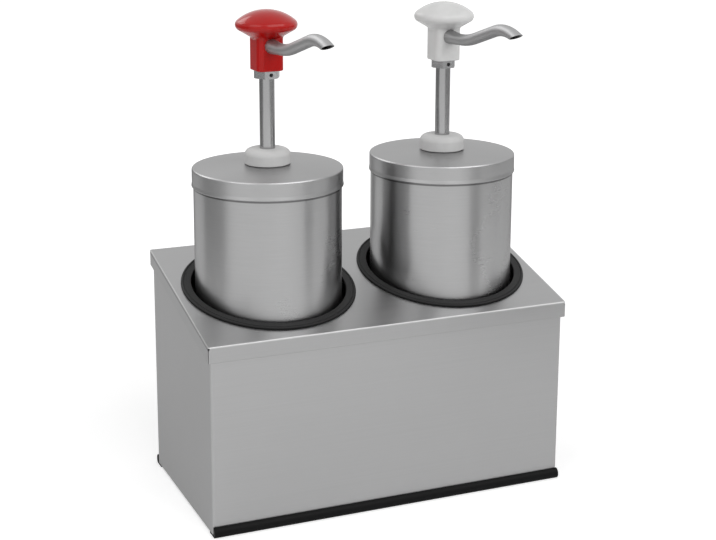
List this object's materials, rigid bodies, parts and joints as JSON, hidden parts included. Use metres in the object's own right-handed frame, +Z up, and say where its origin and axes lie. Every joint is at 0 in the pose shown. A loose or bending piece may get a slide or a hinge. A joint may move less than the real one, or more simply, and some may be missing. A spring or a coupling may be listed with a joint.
{
  "type": "sauce dispenser",
  "caption": "Countertop sauce dispenser: lift-out pots with push pumps in a slope-topped steel housing; pressing a knob sends sauce out of its swan-neck spout.",
  "frame": {"origin": "centre of the housing's footprint on the table top", "axes": "+X to the right along the front, +Y from the front to the back, +Z up; the spouts point towards -Y"},
  "size_m": [0.38, 0.2525, 0.4903],
  "materials": {
    "sheet_steel": "fine satin",
    "pot_steel": "fine satin",
    "pump_steel": "polished",
    "black_rubber": "matte",
    "seal_rubber": "matte",
    "white_plastic": "satin",
    "natural_plastic": "satin",
    "red_plastic": "gloss",
    "white_head_plastic": "gloss"
  },
  "bodies": {
    "housing": {"housing_body": "sheet_steel", "top_cover": "sheet_steel", "base_plate": "sheet_steel", "front_foot_strip": "black_rubber", "rear_foot_strip": "black_rubber", "trim_ring_left": "black_rubber", "trim_ring_right": "black_rubber"},
    "pot_left": {"container_left": "pot_steel"},
    "pump_left": {"lid_left": "pot_steel", "lid_gasket_left": "seal_rubber", "collar_left": "white_plastic", "pump_barrel_left": "natural_plastic", "foot_valve_left": "white_plastic", "spring_seat_left": "pump_steel", "return_spring_left": "pump_steel"},
    "piston_left": {"piston_left": "white_plastic", "piston_seal_left": "seal_rubber", "ball_stop_pin_left": "pump_steel"},
    "head_left": {"plunger_tube_left": "pump_steel", "head_nut_left": "pump_steel", "nut_set_screw_left": "pump_steel", "pump_head_left": "red_plastic", "spout_left": "pump_steel"},
    "inlet_left": {"inlet_ball_left": "pump_steel"},
    "outlet_left": {"outlet_ball_left": "pump_steel"},
    "pot_right": {"container_right": "pot_steel"},
    "pump_right": {"lid_right": "pot_steel", "lid_gasket_right": "seal_rubber", "collar_right": "white_plastic", "pump_barrel_right": "natural_plastic", "foot_valve_right": "white_plastic", "spring_seat_right": "pump_steel", "return_spring_right": "pump_steel"},
    "piston_right": {"piston_right": "white_plastic", "piston_seal_right": "seal_rubber", "ball_stop_pin_right": "pump_steel"},
    "head_right": {"plunger_tube_right": "pump_steel", "head_nut_right": "pump_steel", "nut_set_screw_right": "pump_steel", "pump_head_right": "white_head_plastic", "spout_right": "pump_steel"},
    "inlet_right": {"inlet_ball_right": "pump_steel"},
    "outlet_right": {"outlet_ball_right": "pump_steel"}
  },
  "joints": [
    {"name": "pot_lift_left", "type": "slide", "parent": "housing", "child": "pot_left", "axis": [0, 0, 1], "range_m": [0, 0.26]},
    {"name": "lid_lift_left", "type": "slide", "parent": "pot_left", "child": "pump_left", "axis": [0, 0, 1], "range_m": [0, 0.34]},
    {"name": "pump_stroke_left", "type": "slide", "parent": "pump_left", "child": "piston_left", "axis": [0, 0, -1], "range_m": [0, 0.06], "stiffness_N_per_m": 250, "springref_m": -0.03, "deforming": ["return_spring_left"]},
    {"name": "head_turn_left", "type": "hinge", "parent": "piston_left", "child": "head_left", "pos_m": [-0.095, 0, 0.432], "axis": [0, 0, 1], "continuous": true},
    {"name": "inlet_lift_left", "type": "slide", "parent": "pump_left", "child": "inlet_left", "axis": [0, 0, 1], "range_m": [0, 0.003]},
    {"name": "outlet_lift_left", "type": "slide", "parent": "piston_left", "child": "outlet_left", "axis": [0, 0, 1], "range_m": [0, 0.003]},
    {"name": "pot_lift_right", "type": "slide", "parent": "housing", "child": "pot_right", "axis": [0, 0, 1], "range_m": [0, 0.26]},
    {"name": "lid_lift_right", "type": "slide", "parent": "pot_right", "child": "pump_right", "axis": [0, 0, 1], "range_m": [0, 0.34]},
    {"name": "pump_stroke_right", "type": "slide", "parent": "pump_right", "child": "piston_right", "axis": [0, 0, -1], "range_m": [0, 0.06], "stiffness_N_per_m": 250, "springref_m": -0.03, "deforming": ["return_spring_right"]},
    {"name": "head_turn_right", "type": "hinge", "parent": "piston_right", "child": "head_right", "pos_m": [0.095, 0, 0.432], "axis": [0, 0, 1], "continuous": true},
    {"name": "inlet_lift_right", "type": "slide", "parent": "pump_right", "child": "inlet_right", "axis": [0, 0, 1], "range_m": [0, 0.003]},
    {"name": "outlet_lift_right", "type": "slide", "parent": "piston_right", "child": "outlet_right", "axis": [0, 0, 1], "range_m": [0, 0.003]}
  ]
}
